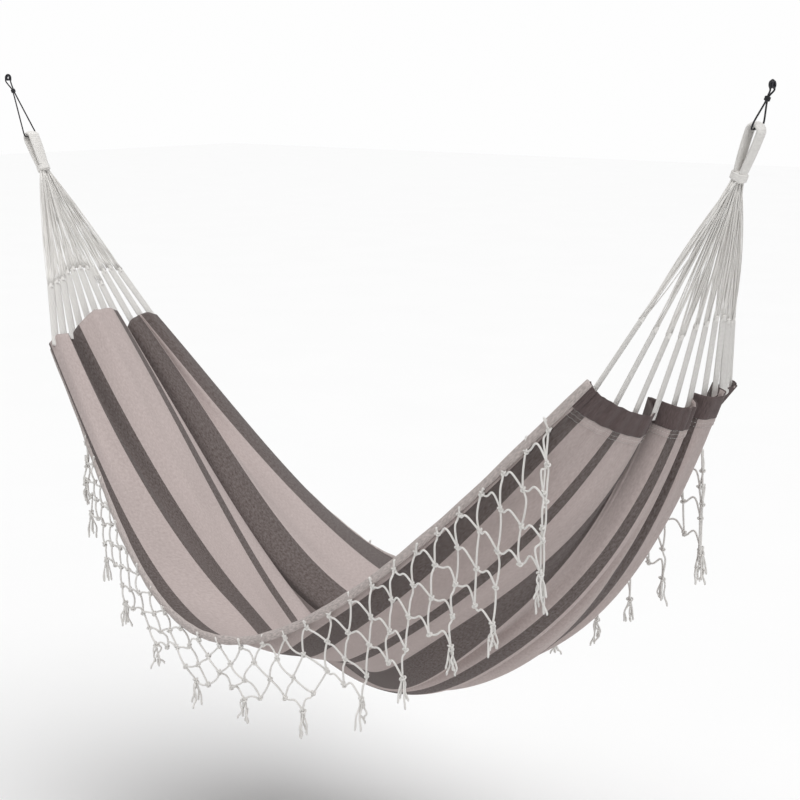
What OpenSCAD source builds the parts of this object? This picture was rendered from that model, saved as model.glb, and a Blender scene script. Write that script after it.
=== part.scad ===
// Hanging cotton hammock with knotted fringe.
// The origin is the middle of the left hanging ring, +X runs to the right ring,
// the front edge of the bed lies towards -Y and +Z is up.

/* [Hanging points] */
// Distance between the middles of the two hanging rings
span = 2520; // [2300:10:3100]
// Length of the left black cord, from its ring to the top of the rope eye
left_cord = 180; // [120:5:260]
// Length of the right black cord, from its ring to the top of the rope eye
right_cord = 80; // [64:4:200]
// Angle of the left end below the horizontal
left_angle = 60; // [52:1:68]
// Angle of the right end below the horizontal
right_angle = 70; // [60:1:74]

/* [Hanging rings] */
// Radius of the hole that goes over the hook
ring_bore_r = 5; // [3.5:0.5:8]
// Radial thickness of the ring under its groove
ring_wall = 2; // [1.5:0.5:4]
// Height of the flanges beside the groove
ring_flange = 1.6; // [1:0.2:2]
// Width of the ring along its hole
ring_width = 9; // [8:0.5:14]

/* [Black cord] */
// Diameter of the black cord
cord_d = 4; // [3:0.5:5]
// Room between the cord and the ring that it turns on
cord_gap = 0.4; // [0.3:0.1:0.8]
// Distance from the left ring to the knot under it
left_knot = 44; // [36:2:70]
// Distance from the right ring to the knot under it
right_knot = 30; // [26:2:34]

/* [Rope eye] */
// Length of the rope eye, from its top to its wrap
eye_length = 108; // [80:4:150]
// Width of the band of strings in the eye, across the hammock
eye_width = 38; // [28:2:48]
// Thickness of the band of strings in the eye
eye_thick = 13; // [9:1:18]
// Half of the opening between the two legs of the eye
eye_open = 13; // [9:1:20]
// Radius of the wrap that closes the eye
wrap_r = 19; // [16:1:26]
// Length of the wrap along the eye
wrap_length = 24; // [16:2:40]

/* [Clew strings] */
// Number of string bundles at each end
bundles = 11; // [9:1:11]
// Distance from the ring side of the wrap to the hem corners, left end
left_reach = 543; // [480:5:680]
// Distance from the ring side of the wrap to the hem corners, right end
right_reach = 514; // [460:5:640]
// Length of the woven tabs
tab_length = 190; // [120:5:240]
// Width of the woven tabs
tab_width = 15; // [10:1:20]
// Thickness of the woven tabs
tab_thick = 4; // [3:0.5:6]
// Radius of a string bundle where it meets its tab
bundle_r = 5; // [4:0.5:7]
// Length of the binding at the top of a tab
binding_length = 12; // [8:1:20]

/* [Bed cloth] */
// Half width of the left hem
left_half = 200; // [160:5:260]
// Half width of the right hem
right_half = 240; // [190:5:300]
// How far the edges stand apart in the middle, as the curve's handle
bed_spread = 455; // [380:5:560]
// How far the middle of the left hem hangs below its corners, along the strings
left_bow = -40; // [-60:1:60]
// How far the middle of the right hem hangs below its corners, along the strings
right_bow = -5; // [-60:1:60]
// How far the middle of the left hem bulges outwards
left_bulge = 18; // [0:1:60]
// How far the middle of the right hem bulges outwards
right_bulge = 75; // [40:1:110]
// Turn of the right hem, the front corner in and the back corner out
right_turn = 38; // [0:1:60]
// Depth of the edges, as the level of the curve's two handles
edge_sag = 1575; // [1450:5:1900]
// Depth of the belly, as the level of the curve's two handles
belly_sag = 1665; // [1580:5:2000]
// Thickness of the cloth with its weave and folds
cloth_t = 5; // [3:0.5:8]

/* [Hems] */
// Length of the doubled band at each end
band_length = 52; // [36:2:80]
// Thickness of the doubled band
band_t = 7; // [5:0.5:10]
// Radius of the rolled hem along each side
hem_r = 8; // [6:0.5:12]

/* [Fringe] */
// Number of tassels along each side
tassels = 14; // [8:1:16]
// Depth of the net at the lowest point of the edge
net_low = 135; // [100:5:180]
// Depth of the net at its left end
net_left = 200; // [140:5:260]
// Depth of the net at its right end
net_right = 300; // [200:5:340]
// How far the net leans outwards for each unit that it hangs down
net_lean = 0.16; // [0.1:0.01:0.3]
// Thickness of the net
net_t = 3; // [2:0.5:5]
// Radius of the knots that hold the net
knot_r = 7; // [5:0.5:9]
// Radius of a tassel at its tips
tassel_r = 11; // [8:1:16]
// Length of the loose ends of a tassel
tassel_length = 62; // [40:2:90]

/* [Hidden] */
$fn = 40;

// Clearance between pieces that meet end to end
joint_gap = 0.5;
// Steps along and across the cloth
bed_steps = 34;
cross_steps = 22;
// Steps of a swept tube round its section
tube_sides = 10;
// Shape of the trough: higher is flatter in the middle
trough_power = 2.2;
// The net and its knots lie between these shares of the side edge
net_from = 0.10;
net_to = 0.97;
// The lowest share of the edge, where the net is shallowest
net_middle = 0.5;
// How deep the net is cut up between two tassels
scallop = 0.3;

groove_r = ring_bore_r + ring_wall;
cord_r = cord_d / 2;
cord_turn_r = groove_r + cord_gap + cord_r;

LEFT = 0;
RIGHT = 1;

// ---- directions and points -------------------------------------------------
function unit(v) = v / norm(v);
// Direction of the pull at an end, from its ring towards the cloth
function pull(side) = side == LEFT
    ? [cos(left_angle), 0, -sin(left_angle)]
    : [-cos(right_angle), 0, -sin(right_angle)];
// Direction across the pull, towards the inside of the hammock
function inwards(side) = side == LEFT
    ? [sin(left_angle), 0, cos(left_angle)]
    : [-sin(right_angle), 0, cos(right_angle)];
function ring_at(side) = side == LEFT ? [0, 0, 0] : [span, 0, 0];
// A point of an end: along the pull, inwards and across
function end_point(side, along, inward = 0, across = 0) =
    ring_at(side) + along * pull(side) + inward * inwards(side) + [0, across, 0];
function cord_length(side) = side == LEFT ? left_cord : right_cord;
function wrap_from(side) = cord_length(side) + eye_length;
function string_from(side) = wrap_from(side) + wrap_length + joint_gap;
function hem_along(side) = wrap_from(side) + (side == LEFT ? left_reach : right_reach);
function half_width(side) = side == LEFT ? left_half : right_half;
function bulge(side) = side == LEFT ? left_bulge : right_bulge;
function turn(side) = side == LEFT ? 0 : right_turn;

// ---- the cloth's surface ---------------------------------------------------
// u runs from the left hem (0) to the right hem (1), t from the front edge (-1)
// to the back edge (1). Each lengthwise line is a cubic curve with two handles.
function cubic(a, b, c, d, u) = pow(1 - u, 3) * a + 3 * pow(1 - u, 2) * u * b
    + 3 * (1 - u) * u * u * c + pow(u, 3) * d;
function reach(t) = sin(90 * t);
function trough(t) = 1 - pow(abs(reach(t)), trough_power);
function hem_corner(side, t) = end_point(side, hem_along(side), -turn(side) * reach(t));
function bow(side) = side == LEFT ? left_bow : right_bow;
function hem_middle(side) = end_point(side, hem_along(side) + bow(side), -bulge(side));
function hem_line(side, t) =
    hem_corner(side, t) + (hem_middle(side) - hem_corner(side, 0)) * trough(t);
edge_handle_left = [0.460 * span, 0, -edge_sag + 65];
edge_handle_right = [0.504 * span, 0, -edge_sag - 65];
belly_handle_left = [0.488 * span, 0, -belly_sag + 185];
belly_handle_right = [0.810 * span, 0, -belly_sag - 185];
function handle_left(t) = edge_handle_left
    + (belly_handle_left - edge_handle_left) * trough(t);
function handle_right(t) = edge_handle_right
    + (belly_handle_right - edge_handle_right) * trough(t);
function half_spread(u) = cubic(left_half, bed_spread, bed_spread, right_half, u);
function bed(u, t) =
    cubic(hem_line(LEFT, t), handle_left(t), handle_right(t), hem_line(RIGHT, t), u)
    + [0, half_spread(u) * reach(t), 0];
// Upward normal of the cloth
function bed_up(u, t) = let (e = 0.004, tt = max(-0.98, min(0.98, t)))
    unit(cross(bed(u + e, tt) - bed(u - e, tt), bed(u, tt + e) - bed(u, tt - e)));
// Shares of the length that the two doubled bands take
band_left = band_length / 2300;
band_right = 1 - band_length / 2000;

// ---- general solids --------------------------------------------------------
// A closed slab from an upper and a lower grid of points with the same rows
module slab(upper, lower) {
    rows = len(upper);
    cols = len(upper[0]);
    count = rows * cols;
    top = [for (i = [0:rows - 1]) for (j = [0:cols - 1]) upper[i][j]];
    bottom = [for (i = [0:rows - 1]) for (j = [0:cols - 1]) lower[i][j]];
    function id(i, j) = i * cols + j;
    over = [for (i = [0:rows - 2]) for (j = [0:cols - 2])
        for (f = [[id(i, j), id(i, j + 1), id(i + 1, j + 1)],
            [id(i, j), id(i + 1, j + 1), id(i + 1, j)]]) f];
    rim = concat(
        [for (j = [0:cols - 1]) id(0, j)],
        [for (i = [1:rows - 1]) id(i, cols - 1)],
        [for (j = [cols - 2:-1:0]) id(rows - 1, j)],
        [for (i = [rows - 2:-1:1]) id(i, 0)]);
    n = len(rim);
    under = [for (f = over) [f[0] + count, f[2] + count, f[1] + count]];
    walls = [for (k = [0:n - 1]) let (a = rim[k], b = rim[(k + 1) % n])
        for (f = [[b, a, a + count], [b, a + count, b + count]]) f];
    polyhedron(concat(top, bottom), concat(over, under, walls));
}

// Points of a section round one point of a path
function section(p, along, side_dir, a, b, sides) =
    let (s = unit(side_dir - (side_dir * along) * along), r = cross(along, s))
    [for (k = [0:sides - 1]) let (w = 360 * k / sides) p + a * cos(w) * s + b * sin(w) * r];
function path_dir(path, i, closed) = let (n = len(path))
    closed ? unit(path[(i + 1) % n] - path[(i + n - 1) % n])
    : unit(path[min(i + 1, n - 1)] - path[max(i - 1, 0)]);

// A tube along a path: half size a along side_dir, half size b across it
module tube(path, side_dir, a, b, closed = false, sides = tube_sides) {
    n = len(path);
    points = [for (i = [0:n - 1])
        each section(path[i], path_dir(path, i, closed), side_dir, a, b, sides)];
    last = closed ? n - 1 : n - 2;
    skin = [for (i = [0:last]) for (k = [0:sides - 1])
        let (p = i * sides, q = ((i + 1) % n) * sides, m = (k + 1) % sides)
        for (f = [[p + k, q + k, q + m], [p + k, q + m, p + m]]) f];
    caps = closed ? [] : [[for (k = [0:sides - 1]) k],
        [for (k = [sides - 1:-1:0]) (n - 1) * sides + k]];
    polyhedron(points, concat(skin, caps));
}

// Turns local +Z to a direction and moves to a point
module aim(from, dir) {
    translate(from)
        rotate([0, acos(dir[2] / norm(dir)), atan2(dir[1], dir[0])])
            children();
}

// ---- hanging rings, cords and knots ----------------------------------------
module hang_ring(side) {
    flange_r = groove_r + ring_flange;
    groove_half = cord_r + cord_gap;
    color("#26262a")
        translate(ring_at(side))
            rotate([0, 90, 0])
                rotate_extrude()
                    polygon([[ring_bore_r, -ring_width / 2], [flange_r, -ring_width / 2],
                        [flange_r, -groove_half - 0.6], [groove_r, -groove_half],
                        [groove_r, groove_half], [flange_r, groove_half + 0.6],
                        [flange_r, ring_width / 2], [ring_bore_r, ring_width / 2]]);
}

function knot_at(side) = side == LEFT ? left_knot : right_knot;
leg_apart = cord_r + 0.3;
knot_length = 9;
foot_apart = eye_width / 2 + cord_r + 1;
// Where the cord runs through the rope eye, under the band of strings
function foot_at(side) = cord_length(side) + eye_thick + cord_r + 0.6;

// Half of the cord loop, from the top of the ring to the middle of its foot
function half_cord(side, s) = concat(
    [for (w = [90:-18:0]) ring_at(side) + cord_turn_r * [0, s * cos(w), sin(w)]],
    [ring_at(side) + [0, s * cord_turn_r, -cord_turn_r * 0.6],
        ring_at(side) + [0, s * cord_turn_r * 0.9, -cord_turn_r * 1.2],
        end_point(side, knot_at(side) - knot_length / 2, 0, s * leg_apart),
        end_point(side, knot_at(side) + knot_length / 2, 0, s * leg_apart),
        end_point(side, foot_at(side) - eye_thick - 4, 0, s * foot_apart * 0.95),
        end_point(side, foot_at(side) - eye_thick / 2, 0, s * foot_apart),
        end_point(side, foot_at(side) - 2, 0, s * (foot_apart - 0.8)),
        end_point(side, foot_at(side), 0, s * (foot_apart - 4))]);

module hang_cord(side) {
    front = half_cord(side, 1);
    back = half_cord(side, -1);
    loop = concat(front, [for (i = [len(back) - 1:-1:1]) back[i]]);
    color("#1d1d20")
        tube(loop, [1, 0, 0], cord_r, cord_r, closed = true, sides = 8);
}

module cord_knot(side) {
    hole_r = leg_apart + cord_r + 0.4;
    color("#1d1d20")
        aim(end_point(side, knot_at(side) - knot_length / 2), pull(side))
            difference() {
                cylinder(h = knot_length, r = hole_r + 2);
                translate([0, 0, -1])
                    cylinder(h = knot_length + 2, r = hole_r);
            }
}

// ---- rope eyes, wraps, strings and tabs ------------------------------------
// One leg up to the top and the other leg down again
module rope_eye(side) {
    turn_r = eye_open;
    top = cord_length(side) + eye_thick / 2 + turn_r;
    foot_clear = 1.5;
    foot = wrap_from(side) - foot_clear;
    foot_in = eye_thick / 2 + joint_gap;
    leg_steps = 6;
    leg = [for (k = [0:leg_steps - 1]) let (f = k / leg_steps)
        [foot - (foot - top) * f, foot_in + (turn_r - foot_in) * sin(90 * f)]];
    arc = [for (w = [0:18:180]) [top - turn_r * sin(w), turn_r * cos(w)]];
    other = [for (k = [leg_steps - 1:-1:0]) [leg[k][0], -leg[k][1]]];
    color("#efece6")
        tube([for (p = concat(leg, arc, other)) end_point(side, p[0], p[1])],
            [0, 1, 0], eye_width / 2, eye_thick / 2, sides = 12);
}

module eye_wrap(side) {
    rim = 4;
    color("#f3f1ec")
        aim(end_point(side, wrap_from(side)), pull(side))
            rotate_extrude()
                polygon([[0, 0], [wrap_r - rim, 0], [wrap_r, rim], [wrap_r, wrap_length - rim],
                    [wrap_r - rim, wrap_length], [0, wrap_length]]);
}

// The bundles stand evenly across the hem, the outer ones just inside its corners
function bundle_share(k) = 0.97 * (2 * k / (bundles - 1) - 1);
function bundle_t(k) = asin(bundle_share(k)) / 90;
function bundle_top(side, k) =
    end_point(side, string_from(side), 0, (wrap_r - 5) * (2 * k / (bundles - 1) - 1));
function bundle_foot(side, k) = bed(side, bundle_t(k));
function bundle_dir(side, k) = unit(bundle_foot(side, k) - bundle_top(side, k));
function bundle_run(side, k) = norm(bundle_foot(side, k) - bundle_top(side, k));
tab_gap = 7;
function tab_from(side, k) = bundle_run(side, k) - tab_gap - tab_length;

module clew_strings(side) {
    start_r = 1.2;
    color("#f2efe9")
        for (k = [0:bundles - 1])
            aim(bundle_top(side, k), bundle_dir(side, k))
                cylinder(h = tab_from(side, k) - binding_length - 2 * joint_gap,
                    r1 = start_r, r2 = bundle_r);
}

module tab_bindings(side) {
    color("#f5f2ec")
        for (k = [0:bundles - 1])
            aim(bundle_top(side, k), bundle_dir(side, k))
                translate([0, 0, tab_from(side, k) - binding_length - joint_gap])
                    cylinder(h = binding_length, r = bundle_r + 1);
}

module woven_tabs(side) {
    color("#eeeae2")
        for (k = [0:bundles - 1])
            aim(bundle_top(side, k), bundle_dir(side, k))
                translate([-tab_thick / 2, -tab_width / 2, tab_from(side, k)])
                    cube([tab_thick, tab_width, tab_length]);
}

// ---- cloth, bands and hems -------------------------------------------------
module cloth_piece(u_from, u_to, u_steps, t_steps, t) {
    cells = [for (i = [0:u_steps]) let (u = u_from + (u_to - u_from) * i / u_steps)
        [for (j = [0:t_steps]) let (v = -1 + 2 * j / t_steps, up = bed_up(u, v))
            [bed(u, v), up]]];
    slab([for (row = cells) [for (c = row) c[0] + c[1] * t / 2]],
        [for (row = cells) [for (c = row) c[0] - c[1] * t / 2]]);
}

module bed_cloth() {
    seam = 0.0005;
    color("#b3a49e")
        cloth_piece(band_left + seam, band_right - seam, bed_steps, cross_steps, cloth_t);
}

module end_band(side) {
    color("#5d5150")
        if (side == LEFT)
            cloth_piece(0, band_left, 2, cross_steps, band_t);
        else
            cloth_piece(band_right, 1, 2, cross_steps, band_t);
}

// Middle of the rolled hem beside the cloth's edge; s is -1 in front, 1 behind
hem_out = hem_r + band_t / 2 + joint_gap;
function hem_axis(u, s) = bed(u, s) + [0, s * hem_out, 0] + (cloth_t / 2) * [0, 0, 1];

module edge_hem(s) {
    hem_steps = 40;
    color("#bfb0a8")
        tube([for (i = [0:hem_steps]) hem_axis(i / hem_steps, s)], [0, 1, 0], hem_r, hem_r);
}

// ---- fringe ----------------------------------------------------------------
function tassel_u(k) = net_from + (net_to - net_from) * k / (tassels - 1);
function net_depth(u) = let (d = u - net_middle)
    d < 0 ? net_low + (net_left - net_low) * pow(d / (net_from - net_middle), 2)
    : net_low + (net_right - net_low) * pow(d / (net_to - net_middle), 2);
// A point of the net, h below the middle of the hem
function net_point(u, s, h) = hem_axis(u, s) + [0, s * (2 + net_lean * h), -h];
// Drop straight down that gives 1 unit of distance from the sloping hem
function steep(u, s) = let (e = 0.004, d = unit(bed(u + e, s) - bed(u - e, s)))
    1 / norm([d[0], d[1]]);
function knot_drop(u, s) = (hem_r + knot_r + joint_gap) * steep(u, s);
function net_top(u, s) = knot_drop(u, s) + (knot_r + joint_gap) * steep(u, s);
// Share of the cut between tassels at a place along the net, 0 at a tassel
function cut(u) = let (f = (u - net_from) / (net_to - net_from) * (tassels - 1))
    1 - 2 * abs(f - floor(f) - 0.5);
function net_foot(u) = net_depth(u) * (1 - scallop * cut(u));

module fringe_knots(s) {
    count = 2 * tassels - 1;
    color("#efebe4")
        for (k = [0:count - 1]) {
            u = net_from + (net_to - net_from) * k / (count - 1);
            translate(net_point(u, s, knot_drop(u, s)))
                sphere(r = knot_r, $fn = 24);
        }
}

module fringe_net(s) {
    along = 4 * (tassels - 1);
    down = 4;
    grid = [for (i = [0:along])
        let (u = net_from + (net_to - net_from) * i / along, top = net_top(u, s))
        [for (j = [0:down]) net_point(u, s, top + (net_foot(u) - top) * j / down)]];
    outer = [for (row = grid) [for (p = row) p + [0, s * net_t / 2, 0]]];
    inner = [for (row = grid) [for (p = row) p - [0, s * net_t / 2, 0]]];
    color("#ece8e0")
        if (s < 0)
            slab(outer, inner);
        else
            slab(inner, outer);
}

module tassel_row(s) {
    color("#efebe4")
        for (k = [0:tassels - 1]) {
            top = net_point(tassel_u(k), s, net_foot(tassel_u(k)) + knot_r + joint_gap);
            translate(top)
                sphere(r = knot_r, $fn = 24);
            translate(top - [0, 0, tassel_length + knot_r])
                cylinder(h = tassel_length + 2, r1 = tassel_r, r2 = knot_r / 2);
        }
}

hang_ring(LEFT);  // hang_ring_left
hang_ring(RIGHT);  // hang_ring_right
hang_cord(LEFT);  // hang_cord_left
hang_cord(RIGHT);  // hang_cord_right
cord_knot(LEFT);  // cord_knot_left
cord_knot(RIGHT);  // cord_knot_right
rope_eye(LEFT);  // rope_eye_left
rope_eye(RIGHT);  // rope_eye_right
eye_wrap(LEFT);  // eye_wrap_left
eye_wrap(RIGHT);  // eye_wrap_right
clew_strings(LEFT);  // clew_strings_left
clew_strings(RIGHT);  // clew_strings_right
tab_bindings(LEFT);  // tab_bindings_left
tab_bindings(RIGHT);  // tab_bindings_right
woven_tabs(LEFT);  // woven_tabs_left
woven_tabs(RIGHT);  // woven_tabs_right
end_band(LEFT);  // end_band_left
end_band(RIGHT);  // end_band_right
bed_cloth();
edge_hem(-1);  // edge_hem_front
edge_hem(1);  // edge_hem_back
fringe_knots(-1);  // fringe_knots_front
fringe_knots(1);  // fringe_knots_back
fringe_net(-1);  // fringe_net_front
fringe_net(1);  // fringe_net_back
tassel_row(-1);  // tassels_front
tassel_row(1);  // tassels_back
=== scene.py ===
"""Hanging cotton hammock: striped bed cloth, clew strings, woven tabs and a knotted fringe."""

import bpy
import numpy as np
from bpy.props import FloatProperty, FloatVectorProperty, IntProperty, PointerProperty
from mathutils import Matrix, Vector


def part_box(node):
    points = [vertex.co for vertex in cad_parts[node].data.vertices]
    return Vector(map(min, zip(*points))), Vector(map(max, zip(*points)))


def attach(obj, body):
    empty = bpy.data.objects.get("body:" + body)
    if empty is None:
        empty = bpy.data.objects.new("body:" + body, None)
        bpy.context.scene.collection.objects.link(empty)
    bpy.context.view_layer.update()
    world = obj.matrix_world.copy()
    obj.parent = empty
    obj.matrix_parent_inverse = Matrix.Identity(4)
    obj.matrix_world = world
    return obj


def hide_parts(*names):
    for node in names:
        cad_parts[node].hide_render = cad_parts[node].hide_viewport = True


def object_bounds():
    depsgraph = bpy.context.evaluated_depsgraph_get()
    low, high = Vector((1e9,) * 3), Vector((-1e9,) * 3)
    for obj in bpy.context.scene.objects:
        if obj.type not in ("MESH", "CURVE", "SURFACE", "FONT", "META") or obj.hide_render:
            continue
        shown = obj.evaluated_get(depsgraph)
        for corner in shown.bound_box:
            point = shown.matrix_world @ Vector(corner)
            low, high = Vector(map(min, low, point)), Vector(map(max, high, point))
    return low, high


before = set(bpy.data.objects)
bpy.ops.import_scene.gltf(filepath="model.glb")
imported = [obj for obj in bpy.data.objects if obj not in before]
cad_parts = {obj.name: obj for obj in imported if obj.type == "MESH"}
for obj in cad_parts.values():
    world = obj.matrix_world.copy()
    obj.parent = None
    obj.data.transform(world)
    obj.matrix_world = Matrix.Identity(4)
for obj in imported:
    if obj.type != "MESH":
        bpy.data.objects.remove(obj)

bl_info = {
    "name": "Hanging Hammock",
    "version": (1, 0, 0),
    "blender": (4, 5, 0),
    "location": "View3D > Sidebar > Hammock",
    "description": "Builds a striped cotton hammock round its packed frame",
    "category": "Object",
}

CAD_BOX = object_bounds()
LEFT, RIGHT = 0, 1
SIDES = ((LEFT, "left"), (RIGHT, "right"))
FRONT, BACK = -1, 1
EDGES = ((FRONT, "front"), (BACK, "back"))
LEFT_RING = sum(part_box("hang_ring_left"), Vector()) / 2
RIGHT_RING = sum(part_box("hang_ring_right"), Vector()) / 2
ACROSS = np.array([0.0, 1.0, 0.0])
DOWN = np.array([0.0, 0.0, -1.0])
MM = 1000  # millimetres in a metre

# Lengthwise stripes from the front edge to the back edge: width in mm and shade
STRIPES = ((20, "hem"), (30, "dark"), (60, "pale"), (85, "dark"), (125, "pale"), (35, "dark"),
           (100, "pale"), (90, "dark"), (100, "pale"), (35, "dark"), (125, "pale"), (35, "dark"),
           (135, "pale"), (95, "dark"), (125, "pale"), (85, "dark"), (20, "hem"))
FLAT = sum(width for width, _ in STRIPES)

# Four sections across the cloth, from the left hem to the right hem. Each row is one thread:
# its distance from the front edge of the flat cloth (mm), its place across the bed (-1 front
# edge, 1 back edge), how far it stands up (mm) and how far it climbs towards the ring (mm).
SECTIONS = (
    (0.0, ((0, -0.62, -40, -4), (20, -0.70, -36, 0), (50, -0.80, -22, 2), (75, -0.76, 8, 2),
           (110, -0.52, 16, -13), (150, -0.43, -14, -20), (195, -0.34, 24, -9),
           (260, -0.15, 64, -1), (320, 0.05, 58, -3), (355, 0.13, 46, -4), (400, 0.20, 16, -8),
           (440, 0.22, -36, -28), (700, 0.25, -150, -55), (985, 0.27, -30, -38),
           (1020, 0.31, 16, -17), (1070, 0.44, 22, 1), (1100, 0.465, -4, 3),
           (1130, 0.475, -28, 1), (1170, 0.485, -8, 9), (1195, 0.50, 12, 12), (1230, 0.62, 20, 16),
           (1280, 0.96, 0, 22), (1300, 0.97, -20, 8))),
    (0.36, ((0, -1.0, 0, 0), (20, -0.95, 0, 0), (50, -0.77, 6, 0), (110, -0.48, 2, 0),
            (195, -0.40, 8, 0), (320, -0.28, 14, 0), (355, -0.24, 12, 0), (400, -0.17, 2, 0),
            (440, -0.12, -22, 0), (700, -0.09, -130, 0), (1000, -0.06, -26, 0),
            (1070, 0.08, 8, 0), (1120, 0.20, 2, 0), (1195, 0.44, 9, 0), (1280, 0.92, 0, 0),
            (1300, 1.0, 0, 0))),
    (0.74, ((0, -1.0, 0, 0), (20, -0.97, 0, 0), (50, -0.92, -2, 0), (110, -0.84, -3, 0),
            (195, -0.70, 2, 0), (320, -0.58, -3, 0), (355, -0.54, -3, 0), (455, -0.46, 2, 0),
            (545, -0.355, -8, 0), (600, -0.315, 14, 0), (620, -0.295, 24, 0), (645, -0.27, 4, 0),
            (690, -0.20, -9, 0), (735, -0.165, 18, 0), (770, -0.11, -6, 0), (805, -0.06, -4, 0),
            (840, 0.00, 2, 0), (890, 0.055, 16, 0), (930, 0.11, -6, 0), (975, 0.20, -6, 0),
            (1070, 0.34, 4, 0), (1195, 0.62, 0, 0), (1280, 0.95, 0, 0),
            (1300, 1.0, 0, 0))),
    (1.0, ((0, -1.0, 0, 36), (20, -0.99, -4, 34), (110, -0.88, -8, 28), (195, -0.73, -16, 17),
           (320, -0.50, -18, -7), (355, -0.44, -17, -13), (430, -0.31, -12, -22),
           (470, -0.25, 4, -22), (530, -0.215, 48, -7), (600, -0.19, 26, -2),
           (640, -0.15, -14, 1), (690, -0.08, -28, 2), (750, -0.01, -20, 5),
           (790, 0.03, 16, 12), (815, 0.045, 22, 16), (845, 0.085, -14, 18),
           (900, 0.18, -26, 21), (960, 0.29, -12, 20), (1000, 0.35, 22, 13),
           (1070, 0.43, 30, 9), (1130, 0.56, 4, 3), (1195, 0.73, -12, 5),
           (1280, 0.97, -6, 4), (1300, 1.0, 0, 0))),
)

# The slot that each finish belongs to, and the finishes once they are made
MATERIALS = {}

# Handles of the bed's lengthwise curves: places of the left and the right handle along the
# span, and how far the left one lies above and the right one below the sag (m)
EDGE_HANDLES = (0.460, 0.504, 0.065)
BELLY_HANDLES = (0.488, 0.810, 0.185)


# ---- sizes and colours -------------------------------------------------------
def length(name, default, description, least=0.0):
    """A size in metres with its default."""
    return FloatProperty(name=name, description=description, default=default, min=least,
                         precision=4, unit="LENGTH", subtype="DISTANCE")


def share(name, default, description):
    """A plain number with its default."""
    return FloatProperty(name=name, description=description, default=default, precision=3)


def angle(name, default, description):
    """An angle in radians with its default."""
    return FloatProperty(name=name, description=description, default=default, precision=3,
                         unit="ROTATION", subtype="ANGLE")


def number(name, default, description):
    """A number of like things with its default."""
    return IntProperty(name=name, description=description, default=default, min=1)


def colour(name, default, description):
    """A linear colour with its default."""
    return FloatVectorProperty(name=name, description=description, default=default, size=3,
                               min=0.0, max=1.0, subtype="COLOR")


class HammockShape(bpy.types.PropertyGroup):
    """Sizes of the cords, the strings and the bed's curve."""

    left_cord: length("Left cord", 0.180, "Left ring to the top of the rope eye")
    right_cord: length("Right cord", 0.080, "Right ring to the top of the rope eye")
    left_angle: angle("Left angle", np.radians(60), "Angle of the left end below the level")
    right_angle: angle("Right angle", np.radians(70), "Angle of the right end below the level")
    cord: length("Black cord", 0.004, "Diameter of the black cord")
    cord_turn: length("Turn of the cord", 0.0094, "Radius of the cord's turn over its ring")
    left_knot: length("Left whipping", 0.044, "Left ring to its whipping")
    right_knot: length("Right whipping", 0.030, "Right ring to its whipping")
    eye_length: length("Eye length", 0.108, "Top of the rope eye to its wrap")
    eye_width: length("Eye width", 0.038, "Width of the band of strings in the eye")
    eye_thick: length("Eye thickness", 0.013, "Thickness of the band of strings in the eye")
    eye_open: length("Eye opening", 0.013, "Half of the room between the eye's legs")
    wrap_radius: length("Wrap radius", 0.019, "Radius of the wrap that closes the eye")
    wrap_length: length("Wrap length", 0.024, "Length of the wrap along the eye")
    left_reach: length("Left reach", 0.543, "Wrap to the corners of the left hem")
    right_reach: length("Right reach", 0.514, "Wrap to the corners of the right hem")
    left_half: length("Left half width", 0.200, "Half width of the left hem")
    right_half: length("Right half width", 0.240, "Half width of the right hem")
    spread: length("Spread", 0.455, "How far the edges stand apart, as the curve's handle")
    left_bow: length("Left bow", -0.040,
                     "How much further from its ring the left hem's middle is than its corners",
                     least=-0.3)
    right_bow: length("Right bow", -0.005,
                      "How much further from its ring the right hem's middle is than its corners",
                      least=-0.3)
    left_bulge: length("Left bulge", 0.018, "How far the left hem bulges outwards")
    right_bulge: length("Right bulge", 0.075, "How far the right hem bulges outwards")
    left_turn: length("Left turn", 0.0, "Turn of the left hem about its middle")
    right_turn: length("Right turn", 0.038, "Turn of the right hem about its middle")
    edge_sag: length("Edge sag", 1.575, "Depth of the side edges, as the curve's handles")
    belly_sag: length("Belly sag", 1.665, "Depth of the belly, as the curve's handles")
    trough_power: share("Trough power", 2.2, "Shape of the trough, higher is flatter")
    bundles: number("Bundles", 11, "String bundles at each end")
    strings: number("Strings", 14, "Strings in one bundle")
    string: length("String", 0.0024, "Diameter of one string")
    tab_length: length("Tab length", 0.190, "Length of a woven tab")
    tab_width: length("Tab width", 0.024, "Width of a woven tab")
    tab_thick: length("Tab thickness", 0.0060, "Thickness of a woven tab")


class HammockCloth(bpy.types.PropertyGroup):
    """Sizes and colours of the bed cloth and its hems."""

    width: length("Flat width", 1.300, "Width of the cloth before it is hung")
    length: length("Flat length", 2.450, "Length of the cloth before it is hung")
    thickness: length("Thickness", 0.0016, "Thickness of the cloth")
    band: length("End band", 0.052, "Length of the doubled dark band at each end")
    seam: length("Seam", 0.020, "Length of the stitched seam beside a band")
    hem: length("Edge hem", 0.0105, "Radius of the rolled hem along each side")
    pale: colour("Pale stripe", (0.500, 0.418, 0.400), "Colour of the pale stripes")
    dark: colour("Dark stripe", (0.080, 0.058, 0.053), "Colour of the dark stripes")
    hem_colour: colour("Hem", (0.52, 0.46, 0.44), "Colour of the side hems")
    band_colour: colour("Band", (0.115, 0.084, 0.082), "Colour of the end bands")
    cotton: colour("Cotton", (0.90, 0.88, 0.85), "Colour of the strings, tabs and fringe")
    black: colour("Black", (0.018, 0.018, 0.022), "Colour of the black cord and rings")


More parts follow.
